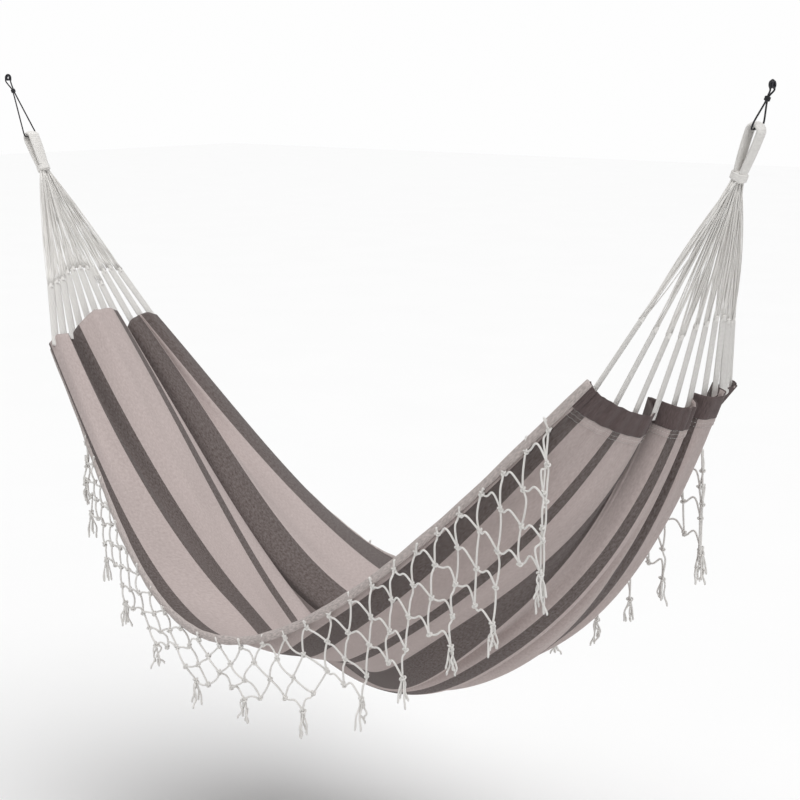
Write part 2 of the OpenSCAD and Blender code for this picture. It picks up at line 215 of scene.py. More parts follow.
class HammockFringe(bpy.types.PropertyGroup):
    """Sizes of the knotted net and its tassels."""

    first: share("From", 0.10, "Share of the edge where the fringe starts")
    last: share("To", 0.97, "Share of the edge where the fringe ends")
    meshes: number("Meshes", 26, "Meshes of the net along an edge")
    left_link: length("Left link", 0.050, "Length of cord between two knots, at the left")
    right_link: length("Right link", 0.082, "Length of cord between two knots, at the right")
    left_lean: share("Left lean", 0.04, "How far the net leans outwards near the left hem")
    right_lean: share("Right lean", 0.10, "How far the net leans outwards near the right hem")
    cord: length("Fringe cord", 0.0048, "Diameter of the fringe cord")
    knot: length("Knot", 0.0080, "Radius of a knot")
    strands: number("Strands", 5, "Loose ends in a tassel")
    tail: length("Tail", 0.062, "Length of a tassel's loose ends")


class HammockStage(bpy.types.PropertyGroup):
    """Camera, floor and light."""

    eye: FloatVectorProperty(name="Camera", description="Where the camera stands",
                             default=(4.2385, -3.1857, 0.0435), size=3, subtype="TRANSLATION")
    look: FloatVectorProperty(name="Look", description="Where the camera looks",
                              default=(-0.63603, 0.74713, -0.19302), size=3,
                              subtype="DIRECTION")
    lens: share("Lens", 77.14, "Focal length on a 36 mm sensor, in millimetres")
    ambient: share("Ambient", 0.34, "Strength of the light from all round")
    backdrop: share("Backdrop", 0.99, "Brightness of the backdrop")
    sun: share("Sun", 2.45, "Strength of the overhead light")
    sun_width: angle("Sun width", 1.1, "How wide the overhead light looks")
    sun_from: FloatVectorProperty(name="Sun from", description="Where the light comes from",
                                  default=(0.30, -0.15, 1.0), size=3, subtype="DIRECTION")
    floor_gap: length("Floor gap", 0.55, "Room between the lowest tassel and the floor")


# ---- curves and surfaces -------------------------------------------------------
def own(group, side, size):
    """A size that has its own value at each end."""
    return getattr(group, f"{SIDES[side][1]}_{size}")


def unit(v):
    """Vectors of length one along the same directions."""
    return v / np.maximum(np.linalg.norm(v, axis=-1, keepdims=True), 1e-12)


def between(x, step, start, stop, start_slope, stop_slope):
    """The cubic from start (x 0) to stop (x 1) with given slopes, over a step."""
    return ((2 * x ** 3 - 3 * x ** 2 + 1) * start + (x ** 3 - 2 * x ** 2 + x) * step * start_slope
            + (3 * x ** 2 - 2 * x ** 3) * stop + (x ** 3 - x ** 2) * step * stop_slope)


def through(knots, values, at):
    """A smooth curve through values at knots that never overshoots: a cubic between each
    pair, with the harmonic mean of the neighbouring slopes at each knot."""
    knots, values, at = (np.asarray(x, float) for x in (knots, values, at))
    tail = (1,) * (values.ndim - 1)
    step = np.diff(knots)
    slope = np.diff(values, axis=0) / step.reshape(-1, *tail)
    a, b = slope[:-1], slope[1:]
    same = a * b > 0
    inner = np.where(same, 2 * a * b / np.where(same, a + b, 1), 0)
    tangent = np.concatenate([slope[:1], inner, slope[-1:]])
    i = np.clip(np.searchsorted(knots, at, side="right") - 1, 0, len(step) - 1)
    x = ((at - knots[i]) / step[i]).reshape(-1, *tail)
    return between(x, step[i].reshape(-1, *tail), values[i], values[i + 1], tangent[i],
                   tangent[i + 1])


def ease(x):
    """0 below 0, 1 above 1 and a smooth climb between."""
    x = np.clip(x, 0, 1)
    return x * x * (3 - 2 * x)


def axes(shape, side):
    """Pull of an end, from its ring towards the cloth, and the direction across it inwards."""
    slant = own(shape, side, "angle")
    turn = 1 if side == LEFT else -1
    pull = np.array([turn * np.cos(slant), 0, -np.sin(slant)])
    inwards = np.array([turn * np.sin(slant), 0, np.cos(slant)])
    return pull, inwards


def end_point(shape, side, along, inward=0.0, across=0.0):
    """Ring + along * pull + inward * inwards + across * Y, for numbers or arrays."""
    pull, inwards = axes(shape, side)
    ring = np.array(LEFT_RING if side == LEFT else RIGHT_RING)
    along, inward, across = (np.asarray(x, float)[..., None] for x in (along, inward, across))
    return ring + along * pull + inward * inwards + across * ACROSS


def wrap_from(shape, side):
    """Distance from a ring to the wrap of its rope eye."""
    return own(shape, side, "cord") + shape.eye_length


def trough_at(shape, t):
    """Sine of the place t across the bed, and the trough: 1 in the middle and 0 at the edges,
    as 1 less a power of that sine."""
    reach = np.sin(np.pi / 2 * t)
    return reach, (1 - np.abs(reach) ** shape.trough_power)[..., None]


def hem_line(shape, side, t):
    """A hem from its front corner (t -1) to its back corner (t 1): the corners, with the
    middle moved by the bow and pushed outwards by the bulge in the trough's shape."""
    reach, trough = trough_at(shape, t)
    along = wrap_from(shape, side) + own(shape, side, "reach")
    middle = (end_point(shape, side, own(shape, side, "bow"), -own(shape, side, "bulge"))
              - end_point(shape, side, 0.0))
    corners = end_point(shape, side, along + 0 * t, -own(shape, side, "turn") * reach)
    return corners + trough * middle


def handles(places, sag):
    """Left and right handle of a lengthwise curve, a lift above and below the sag."""
    left, right, lift = places
    span = RIGHT_RING.x - LEFT_RING.x
    return np.array([left * span, 0, lift - sag]), np.array([right * span, 0, -lift - sag])


def bed(shape, u, t):
    """The smooth bed: each lengthwise line is a cubic from the left hem to the right hem, with
    two handles that go from the edge's level to the belly's by the trough's shape, and the
    lines stand apart by a cubic half width times the sine of t."""
    reach, trough = trough_at(shape, t)
    edge, belly = handles(EDGE_HANDLES, shape.edge_sag), handles(BELLY_HANDLES, shape.belly_sag)
    share_of = [(1 - u) ** 3, 3 * (1 - u) ** 2 * u, 3 * (1 - u) * u ** 2, u ** 3]
    corners = [hem_line(shape, LEFT, t), *(a + (b - a) * trough for a, b in zip(edge, belly)),
               hem_line(shape, RIGHT, t)]
    line = sum(c[..., None] * corner for c, corner in zip(share_of, corners))
    half = (shape.left_half * share_of[0] + shape.spread * (share_of[1] + share_of[2])
            + shape.right_half * share_of[3])
    line[..., 1] += half * reach
    return line


def bed_up(shape, u, t):
    """Upward normal of the smooth bed, by small steps along and across it."""
    step, t = 0.004, np.clip(t, -0.98, 0.98)
    return unit(np.cross(bed(shape, u + step, t) - bed(shape, u - step, t),
                         bed(shape, u, t + step) - bed(shape, u, t - step)))


def folds(u, w):
    """Place across, height and climb of threads w (mm) at shares u of the length: each section
    is a smooth curve through its rows, and the sections are joined by smooth curves too."""
    stations = [station for station, _ in SECTIONS]
    rows = [np.array(section, float) for _, section in SECTIONS]
    return through(stations, np.stack([through(r[:, 0], r[:, 1:], w) for r in rows]), u)


def waves(u, w):
    """Small waves in mm: fine and broad gathers that fade away from both hems, and slack
    between them, none of them at the side edges."""
    fine, broad, slack, edge = 1.6, 1.2, 3.0, 60
    turns = w / FLAT * 2 * np.pi
    gather = (np.sin(turns * 31 + 3 * np.sin(w / 97)) * fine
              + np.sin(turns * 17 + 1.3) * broad)[None, :]
    ripple = gather * (np.exp(-u / 0.10) + np.exp(-(1 - u) / 0.13))[:, None]
    drape = slack * np.sin(w[None, :] / 88 + 5 * u[:, None]) * np.sin(np.pi * u)[:, None]
    return (ripple + drape) * (ease(w / edge) * ease((FLAT - w) / edge))[None, :]


def cloth_points(context, u, w):
    """The hung cloth: bed(u, place) + up * height, moved towards the ring by the climb, which
    fades over the first quarter, with small waves on top."""
    shape = context.scene.hammock_shape
    quarter = 0.25
    place, height, climb = np.moveaxis(folds(u, w), -1, 0)
    uu = np.broadcast_to(u[:, None], place.shape)
    lift = (height + waves(u, w)) / MM
    points = bed(shape, uu, place) + bed_up(shape, uu, place) * lift[..., None]
    for side, away in ((LEFT, u), (RIGHT, 1 - u)):
        near = 1 - ease(away / quarter)[:, None]
        points -= (climb * near / MM)[..., None] * axes(shape, side)[0]
    return points


def grid_normals(points):
    """Upward normals of a grid of points."""
    return unit(np.cross(np.gradient(points, axis=0), np.gradient(points, axis=1)))


# ---- meshes --------------------------------------------------------------------
def lay(name, grid, uv, wrap=False, loop=False):
    """Puts a stack of grids, (pieces, rows, columns, 3), into one mesh of quads. wrap joins the
    last column to the first, loop the last row to the first, and a wrapped grid that isn't a
    loop gets a cap at each end. uv is (pieces, rows + loop, columns + wrap, 2), in metres."""
    pieces, rows, cols, _ = grid.shape
    r, c = np.meshgrid(np.arange(rows if loop else rows - 1),
                       np.arange(cols if wrap else cols - 1), indexing="ij")
    rr = np.stack([r, r, r + 1, r + 1], -1)
    cc = np.stack([c, c + 1, c + 1, c], -1)
    first = (np.arange(pieces) * rows * cols)[:, None, None, None]
    corners = [(((rr % rows) * cols + cc % cols)[None] + first).reshape(-1)]
    places = [uv[:, rr, cc].reshape(-1, 2)]
    sizes = [np.full(pieces * r.size, 4)]
    if wrap and not loop:
        ring = np.arange(cols)
        for row, order in ((0, ring[::-1]), (rows - 1, ring)):
            corners.append((first.reshape(-1, 1) + row * cols + order).reshape(-1))
            places.append(uv[:, row, order].reshape(-1, 2))
            sizes.append(np.full(pieces, cols))
    corners, places, sizes = (np.concatenate(x) for x in (corners, places, sizes))
    mesh = bpy.data.meshes.new(name)
    mesh.vertices.add(pieces * rows * cols)
    mesh.vertices.foreach_set("co", grid.astype(np.float32).ravel())
    mesh.loops.add(len(corners))
    mesh.loops.foreach_set("vertex_index", corners.astype(np.int32))
    mesh.polygons.add(len(sizes))
    starts = np.concatenate([[0], np.cumsum(sizes)[:-1]])
    mesh.polygons.foreach_set("loop_start", starts.astype(np.int32))
    mesh.update(calc_edges=True)
    mesh.uv_layers.new(name="UVMap").data.foreach_set("uv", places.astype(np.float32).ravel())
    mesh.validate()
    mesh.polygons.foreach_set("use_smooth", np.ones(len(mesh.polygons), bool))
    piece = bpy.data.objects.new(name, mesh)
    bpy.context.scene.collection.objects.link(piece)
    return piece


def frames(paths, loop=False):
    """Two unit vectors across each path, carried along it without twist."""
    if loop:
        tangent = unit(np.roll(paths, -1, 1) - np.roll(paths, 1, 1))
    else:
        tangent = unit(np.gradient(paths, axis=1))
    pick = np.where(np.abs(tangent[:, :1, 1:2]) < 0.8, np.array([0.0, 1.0, 0.0]),
                    np.array([1.0, 0.0, 0.0]))
    side = np.empty_like(paths)
    current = pick[:, 0]
    for row in range(paths.shape[1]):
        along = tangent[:, row]
        current = unit(current - np.sum(current * along, -1, keepdims=True) * along)
        side[:, row] = current
    return side, np.cross(tangent, side)


def tubes(name, paths, across, deep=None, sides=8, loop=False):
    """Tubes along paths, (pieces, rows, 3): each ring is path + across * cos * side
    + deep * sin * normal. across and deep are half sizes, for all or for each row."""
    pieces, rows, _ = paths.shape
    across = np.broadcast_to(np.asarray(across, float), (pieces, rows))
    deep = across if deep is None else np.broadcast_to(np.asarray(deep, float), (pieces, rows))
    side, normal = frames(paths, loop)
    turn = np.arange(sides) * 2 * np.pi / sides
    grid = (paths[:, :, None] + (across[..., None] * np.cos(turn))[..., None] * side[:, :, None]
            + (deep[..., None] * np.sin(turn))[..., None] * normal[:, :, None])
    step = np.linalg.norm(np.diff(paths, axis=1, append=paths[:, :1] if loop else paths[:, -1:]),
                          axis=-1)
    run = np.concatenate([np.zeros((pieces, 1)), np.cumsum(step, 1)], 1)[:, :rows + loop]
    girth = np.pi * (across.mean() + deep.mean()) * np.arange(sides + 1) / sides
    uv = np.stack(np.broadcast_arrays(girth[None, None, :], run[..., None]), -1)
    return lay(name, grid, uv, wrap=True, loop=loop)


def smooth_path(points, count):
    """count points evenly spaced on one smooth curve through the given points."""
    points = np.asarray(points, float)
    run = np.concatenate([[0], np.cumsum(np.linalg.norm(np.diff(points, axis=0), axis=1))])
    fine = np.linspace(0, run[-1], 40 * len(points))
    before, after = 2 * points[:1] - points[1:2], 2 * points[-1:] - points[-2:-1]
    padded = np.concatenate([before, points, after])
    gap = np.concatenate([run[:1] - (run[1] - run[0]), run, run[-1:] + (run[-1] - run[-2])])
    tangent = (padded[2:] - padded[:-2]) / (gap[2:] - gap[:-2])[:, None]
    i = np.clip(np.searchsorted(run, fine, side="right") - 1, 0, len(run) - 2)
    step = (run[i + 1] - run[i])[:, None]
    x = (fine - run[i])[:, None] / step
    line = between(x, step, points[i], points[i + 1], tangent[i], tangent[i + 1])
    run = np.concatenate([[0], np.cumsum(np.linalg.norm(np.diff(line, axis=0), axis=1))])
    at = np.linspace(0, run[-1], count)
    return np.stack([np.interp(at, run, line[:, k]) for k in range(3)], -1)


def coil_barrel(name, starts, direction, radius, reach, pitch, ridge):
    """Barrels of wound cord: a circle carried along its axis, whose radius rises over each
    turn of the cord by the ridge and closes in at both ends."""
    rows = max(12, int(reach / pitch * 6))
    x = np.linspace(0, 1, rows)
    size = radius - ridge + ridge * np.abs(np.sin(np.pi * x * reach / pitch)) ** 0.6
    size *= np.minimum(1, 0.55 + 0.45 * np.minimum(x, 1 - x) * reach / (0.25 * radius))
    paths = starts[:, None] + (x * reach)[None, :, None] * direction[:, None]
    return tubes(name, paths, size[None], sides=20)


def finish(piece, look, *nodes):
    """Gives a piece its material, slot and body, and hides the frame's nodes that it stands for.
    """
    piece.data.materials.append(MATERIALS[look])
    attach(piece, "hammock")
    if nodes:
        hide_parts(*nodes)
    return piece


# ---- materials -----------------------------------------------------------------
def add(tree, kind, inputs=(), **settings):
    """A node of a kind with its settings, and its sockets set or linked by name or index."""
    node = tree.nodes.new(kind)
    for name, value in settings.items():
        setattr(node, name, value)
    for socket, value in dict(inputs).items():
        if isinstance(value, bpy.types.NodeSocket):
            tree.links.new(value, node.inputs[socket])
        else:
            node.inputs[socket].default_value = value
    return node


def maths(tree, operation, *values):
    """A sum worked out from values or sockets."""
    return add(tree, "ShaderNodeMath", dict(enumerate(values)), operation=operation).outputs[0]


def noise(tree, vector, scale=1.0, detail=2.0, roughness=0.5):
    """Even noise at a scale."""
    return add(tree, "ShaderNodeTexNoise", {"Vector": vector, "Scale": scale, "Detail": detail,
                                            "Roughness": roughness}).outputs["Fac"]


def fibres(tree, vector, across, along, detail, roughness=0.5):
    """Noise drawn out along the cloth."""
    drawn = add(tree, "ShaderNodeMapping", {"Vector": vector, "Scale": (across, along, 1.0)})
    return noise(tree, drawn.outputs[0], 1.0, detail, roughness)


def ranged(tree, value, low, high, to_low=0.0, to_high=1.0):
    """A value between low and high carried over to another range."""
    return add(tree, "ShaderNodeMapRange", {
        "Value": value, "From Min": low, "From Max": high, "To Min": to_low,
        "To Max": to_high}).outputs[0]


def tinted(tree, dark, light, mask):
    """A colour between two by a mask."""
    ends = {socket: value if isinstance(value, bpy.types.NodeSocket) else (*value, 1.0)
            for socket, value in ((6, dark), (7, light))}
    return add(tree, "ShaderNodeMix", {"Factor": mask, **ends}, data_type="RGBA").outputs[2]


def shaded(value, by):
    """A colour made lighter or darker."""
    return tuple(min(1.0, x * by) for x in value)


def shader_group(name, numbers, outputs):
    """An empty shader node group that takes a vector and named numbers and puts out named
    numbers, with its two end nodes."""
    group = bpy.data.node_groups.new(name, "ShaderNodeTree")
    group.interface.new_socket("Vector", in_out="INPUT", socket_type="NodeSocketVector")
    for way, labels in (("INPUT", numbers), ("OUTPUT", outputs)):
        for label in labels:
            group.interface.new_socket(label, in_out=way, socket_type="NodeSocketFloat")
    return group, group.nodes.new("NodeGroupInput"), group.nodes.new("NodeGroupOutput")


def weave_group():
    """Plain weave: two sets of rounded threads at right angles, over and under in turn, with
    thicker and thinner yarn. Puts out a height and a fibre mask."""
    group, start, end = shader_group("Weave", ["Threads"], ["Height", "Fibre"])
    scaled = add(group, "ShaderNodeVectorMath", {0: start.outputs["Vector"],
                                                "Scale": start.outputs["Threads"]},
                 operation="SCALE")
    split = add(group, "ShaderNodeSeparateXYZ", {0: scaled.outputs[0]})
    warp, weft = (maths(group, "SINE", split.outputs[k]) for k in (0, 1))
    slub = fibres(group, start.outputs["Vector"], 520.0, 90.0, 3.0, 0.6)
    height = maths(group, "ADD", maths(group, "MULTIPLY", warp, weft), slub)
    group.links.new(height, end.inputs["Height"])
    group.links.new(slub, end.inputs["Fibre"])
    return group


def twist_group():
    """Laid cord: plies that run slanting round the cord, with loose fibres. Puts out a height
    and a mask of the grooves."""
    group, start, end = shader_group("Twist", ["Pitch", "Slant"], ["Height", "Groove"])
    split = add(group, "ShaderNodeSeparateXYZ", {0: start.outputs["Vector"]})
    lean = maths(group, "MULTIPLY", split.outputs[0], start.outputs["Slant"])
    slant = maths(group, "ADD", split.outputs[1], lean)
    turns = maths(group, "MULTIPLY", slant, start.outputs["Pitch"])
    ply = maths(group, "ABSOLUTE", maths(group, "SINE", turns))
    fluff = noise(group, start.outputs["Vector"], 900.0)
    group.links.new(maths(group, "MULTIPLY_ADD", fluff, 0.35, ply), end.inputs["Height"])
    group.links.new(ply, end.inputs["Groove"])
    return group


def blank(name, roughness, sheen=0.0):
    """A material with only its shader, its tree and its coordinates."""
    material = bpy.data.materials.new(name)
    material.use_nodes = True
    tree = material.node_tree
    shader = tree.nodes["Principled BSDF"]
    for socket, value in (("Roughness", roughness), ("Sheen Weight", sheen),
                          ("Sheen Roughness", 0.6), ("Specular IOR Level", 0.25)):
        shader.inputs[socket].default_value = value
    return material, tree, shader, tree.nodes.new("ShaderNodeTexCoord").outputs


def placed(tree, group, vector, **numbers):
    """A group in a material, fed with a vector and its own numbers."""
    return add(tree, "ShaderNodeGroup", {"Vector": vector, **numbers}, node_tree=group).outputs


def dress(tree, shader, tint, height=None, depth=0.0, strength=0.6):
    """Feeds a colour, and a height of some depth, to the shader."""
    tree.links.new(tint, shader.inputs["Base Color"])
    if height:
        bump = add(tree, "ShaderNodeBump", {"Height": height, "Distance": depth,
                                            "Strength": strength})
        tree.links.new(bump.outputs[0], shader.inputs["Normal"])


def stripe_ramp(tree, uv, cloth):
    """The stripes' colours across the flat width."""
    split = add(tree, "ShaderNodeSeparateXYZ", {0: uv})
    across = maths(tree, "MULTIPLY", split.outputs[0], 1 / cloth.width)
    node = add(tree, "ShaderNodeValToRGB", {0: across})
    node.color_ramp.interpolation = "CONSTANT"
    stops = node.color_ramp.elements
    shades = {"hem": cloth.hem_colour, "pale": cloth.pale, "dark": cloth.dark}
    place = 0
    for width, shade in STRIPES:
        stop = stops.new(place / FLAT) if place else stops[0]
        stop.color = (*shades[shade], 1.0)
        place += width
    stops.remove(stops[-1])
    return node.outputs["Color"]


def striped_material(cloth, weave):
    """Woven stripes across the flat cloth's width: pale and dark yarn, each with lighter and
    darker fibres along the threads and a little wear."""
    material, tree, shader, coord = blank("striped_cloth", 0.92, 0.12)
    uv = coord["UV"]
    stripes = stripe_ramp(tree, uv, cloth)
    light = tinted(tree, stripes, (1.0, 0.95, 0.93), 0.13)
    deep = tinted(tree, stripes, (0.10, 0.06, 0.06), 0.14)
    mask = ranged(tree, fibres(tree, uv, 260.0, 110.0, 4.0, 0.75), 0.35, 0.70)
    wear = ranged(tree, fibres(tree, uv, 14.0, 2.5, 2.0), 0.3, 0.7, 0.93, 1.05)
    worn = add(tree, "ShaderNodeVectorMath", {0: tinted(tree, deep, light, mask), "Scale": wear},
               operation="SCALE")
    threads = placed(tree, weave, uv, Threads=3400.0)
    dress(tree, shader, worn.outputs[0], threads["Height"], 0.0004)
    return material


def woven_material(name, tint, weave):
    """One colour of plain weave with uneven yarn."""
    material, tree, shader, coord = blank(name, 0.9, 0.12)
    threads = placed(tree, weave, coord["UV"], Threads=3000.0)
    mask = ranged(tree, threads["Fibre"], 0.35, 0.65)
    mixed = tinted(tree, shaded(tint, 0.72), shaded(tint, 1.22), mask)
    dress(tree, shader, mixed, threads["Height"], 0.0005)
    return material


def corded_material(name, tint, twist, pitch, slant, depth, roughness=0.85, groove_shade=0.62):
    """Twisted or braided cord in one colour, with painted shade in its grooves."""
    material, tree, shader, coord = blank(name, roughness, 0.15)
    plies = placed(tree, twist, coord["UV"], Pitch=pitch, Slant=slant)
    # painted shade: the mask picks out the grooves between the plies, and the colour is darkened
    # there
    mask = ranged(tree, plies["Groove"], 0.0, 0.55)
    dress(tree, shader, tinted(tree, shaded(tint, groove_shade), tint, mask), plies["Height"], depth)
    return material


def ring_material(tint):
    """Black enamel with fine scratches."""
    material, tree, shader, coord = blank("black_ring", 0.35)
    scratches = noise(tree, coord["Object"], 600.0, 4.0)
    rough = ranged(tree, scratches, 0.0, 1.0, 0.25, 0.55)
    tree.links.new(rough, shader.inputs["Roughness"])
    dress(tree, shader, tinted(tree, tint, shaded(tint, 3.0), scratches), scratches, 0.0002, 0.3)
    return material


def floor_material():
    """A pale studio floor with a hint of unevenness."""
    tone = (0.93, 0.93, 0.93)
    material, tree, shader, coord = blank("floor", 0.9)
    dress(tree, shader, tinted(tree, shaded(tone, 0.98), tone, noise(tree, coord["Object"], 1.5)))
    return material


def make_materials(cloth):
    """All finishes, made once from the chosen colours."""
    weave, twist = weave_group(), twist_group()
    cotton = cloth.cotton
    MATERIALS.update(
        stripes=striped_material(cloth, weave),
        band=woven_material("dark_band", cloth.band_colour, weave),
        hem=woven_material("pale_hem", cloth.hem_colour, weave),
        # The corded finishes below carry painted shade in their grooves; the last number is how
        # dark it is.
        string=corded_material("white_string", cotton, twist, 1800.0, 1.2, 0.0004),
        tab=corded_material("woven_tab", shaded(cotton, 0.93), twist, 1050.0, 0.45, 0.0012,
                            groove_shade=0.5),
        net=corded_material("net_cord", shaded(cotton, 0.97), twist, 900.0, 1.4, 0.0008),
        cord=corded_material("black_cord", cloth.black, twist, 1400.0, 1.0, 0.0005, 0.6, 0.5),
        ring=ring_material(cloth.black),
        stitch=corded_material("stitch_thread", shaded(cotton, 0.8), twist, 3000.0, 1.0, 0.0002),
    )


# ---- operators -----------------------------------------------------------------
class HAMMOCK_OT_stage(bpy.types.Operator):
    """Camera, floor and soft light."""

    bl_idname = "hammock.stage"
    bl_label = "Stage"

    def execute(self, context):
        stage = context.scene.hammock_stage
        make_materials(context.scene.hammock_cloth)
        camera = self.aimed(context, "camera", bpy.data.cameras.new("camera"),
                            Vector(stage.look))
        context.scene.camera = camera
        camera.location = stage.eye
        camera.data.sensor_width = 36.0
        camera.data.lens = stage.lens
        camera.data.clip_end = 200.0
        sun = self.aimed(context, "sun", bpy.data.lights.new("sun", "SUN"),
                         -Vector(stage.sun_from))
        sun.data.energy = stage.sun
        sun.data.angle = stage.sun_width
        self.floor(CAD_BOX[0].z - stage.floor_gap)
        self.backdrop(context, stage)
        return {"FINISHED"}

    def aimed(self, context, name, data, look):
        """A camera or light that looks along a direction."""
        item = bpy.data.objects.new(name, data)
        context.scene.collection.objects.link(item)
        item.rotation_mode = "QUATERNION"
        item.rotation_quaternion = look.to_track_quat("-Z", "Y")
        return item

    def floor(self, level):
        """A square of pale floor at a level."""
        half = 30.0
        corner = np.array([[[-half, -half, level], [half, -half, level]],
                           [[-half, half, level], [half, half, level]]])
        floor = lay("floor", corner[None].transpose(0, 2, 1, 3), corner[None, ..., :2])
        floor.data.materials.append(floor_material())

    def backdrop(self, context, stage):
        """White all round, brighter to the camera than the light that it gives."""
        world = bpy.data.worlds.new("studio")
        world.use_nodes = True
        sky = world.node_tree.nodes["Background"]
        sky.inputs["Color"].default_value = (1.0, 1.0, 1.0, 1.0)
        rays = add(world.node_tree, "ShaderNodeLightPath")
        power = ranged(world.node_tree, rays.outputs["Is Camera Ray"], 0.0, 1.0, stage.ambient,
                       stage.backdrop)
        world.node_tree.links.new(power, sky.inputs["Strength"])
        context.scene.world = world
        context.scene.view_settings.view_transform = "Standard"


class HAMMOCK_OT_cords(bpy.types.Operator):
    """Black hanging cords over their rings, with whippings."""

    bl_idname = "hammock.cords"
    bl_label = "Rings and black cords"

    def execute(self, context):
        shape = context.scene.hammock_shape
        for side, name in SIDES:
            self.cord(shape, side, name)
            self.whipping(shape, side, name)
            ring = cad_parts[f"hang_ring_{name}"]
            ring.data.materials.clear()
            ring.data.materials.append(MATERIALS["ring"])
        return {"FINISHED"}

    def cord(self, shape, side, name):
        """One loop: over the ring, together through the whipping, apart to the rope eye."""
        r, turn, thick = shape.cord / 2, shape.cord_turn, shape.eye_thick
        half_whip, play = 0.0045, 0.0006
        knot = own(shape, side, "knot")
        foot = own(shape, side, "cord") + thick + r + play
        near, apart = r + 0.0003, shape.eye_width / 2 + r + 0.001
        legs = ((knot - half_whip, near), (knot + half_whip, near),
                (foot - thick - 0.004, apart * 0.95), (foot - thick / 2, apart),
                (foot - 0.002, apart - 0.0008), (foot, apart - 0.004))
        ring = end_point(shape, side, 0.0)
        arc = np.radians(np.arange(90, -1, -15))

        def half(way):
            over = ring + np.stack([0 * arc, way * turn * np.cos(arc), turn * np.sin(arc)], -1)
            down = [ring + np.array([0, way * turn * wide, -drop * turn])
                    for wide, drop in ((1.0, 0.6), (0.9, 1.2))]
            return [*over, *down, *(end_point(shape, side, along, 0, way * across)
                                    for along, across in legs)]

        front, back = half(1), half(-1)
        route = smooth_path(front + back[:0:-1] + front[:1], 160)[:-1]
        cord = tubes(f"black_cord_{name}", route[None], r, sides=10, loop=True)
        finish(cord, "cord", f"hang_cord_{name}")

    def whipping(self, shape, side, name):
        """A short coil that holds the two strands of a loop together."""
        radius, reach, pitch, ridge = 0.0067, 0.011, 0.0022, 0.0008
        start = end_point(shape, side, own(shape, side, "knot") - reach / 2)
        whip = coil_barrel(f"whipping_{name}", start[None], axes(shape, side)[0][None], radius,
                           reach, pitch, ridge)
        finish(whip, "cord", f"cord_knot_{name}")


class HAMMOCK_OT_eyes(bpy.types.Operator):
    """Rope eyes served with string, and the wraps that close them."""

    bl_idname = "hammock.eyes"
    bl_label = "Rope eyes and wraps"

    def execute(self, context):
        shape = context.scene.hammock_shape
        pitch, ridge = 0.0036, 0.0012
        for side, name in SIDES:
            self.eye(shape, side, name)
            start = end_point(shape, side, wrap_from(shape, side))
            wrap = coil_barrel(f"eye_wrap_{name}_coil", start[None], axes(shape, side)[0][None],
                               shape.wrap_radius, shape.wrap_length, pitch, ridge)
            finish(wrap, "string", f"eye_wrap_{name}")
        return {"FINISHED"}

    def eye(self, shape, side, name):
        """The loop up one leg, over the top and down the other, ribbed by its serving."""
        rows, ribs, rib_wide, rib_deep = 260, 74, 0.0010, 0.0012
        half_thick, turn, start = shape.eye_thick / 2, shape.eye_open, wrap_from(shape, side)
        top, foot = start - shape.eye_length + half_thick + turn, start + 0.002
        leg = np.linspace(0, 1, 7)[:-1]
        near = half_thick + 0.0005
        up = np.stack([foot - (foot - top) * leg, near + (turn - near) * np.sin(np.pi / 2 * leg)])
        arc = np.radians(np.arange(0, 181, 15))
        over = np.stack([top - turn * np.sin(arc), turn * np.cos(arc)])
        down = up[:, ::-1] * np.array([[1], [-1]])
        along, inward = np.concatenate([up, over, down], 1)
        path = smooth_path(end_point(shape, side, along, inward), rows)
        rib = np.abs(np.sin(np.linspace(0, 1, rows) * np.pi * ribs)) ** 0.7
        broad = 0.86 + 0.14 * np.sin(np.linspace(0, np.pi, rows)) ** 0.5
        band = tubes(f"rope_eye_{name}_band", path[None],
                     shape.eye_width / 2 * broad - rib_wide + rib_wide * rib,
                     half_thick - rib_deep + rib_deep * rib, sides=20)
        finish(band, "string", f"rope_eye_{name}")


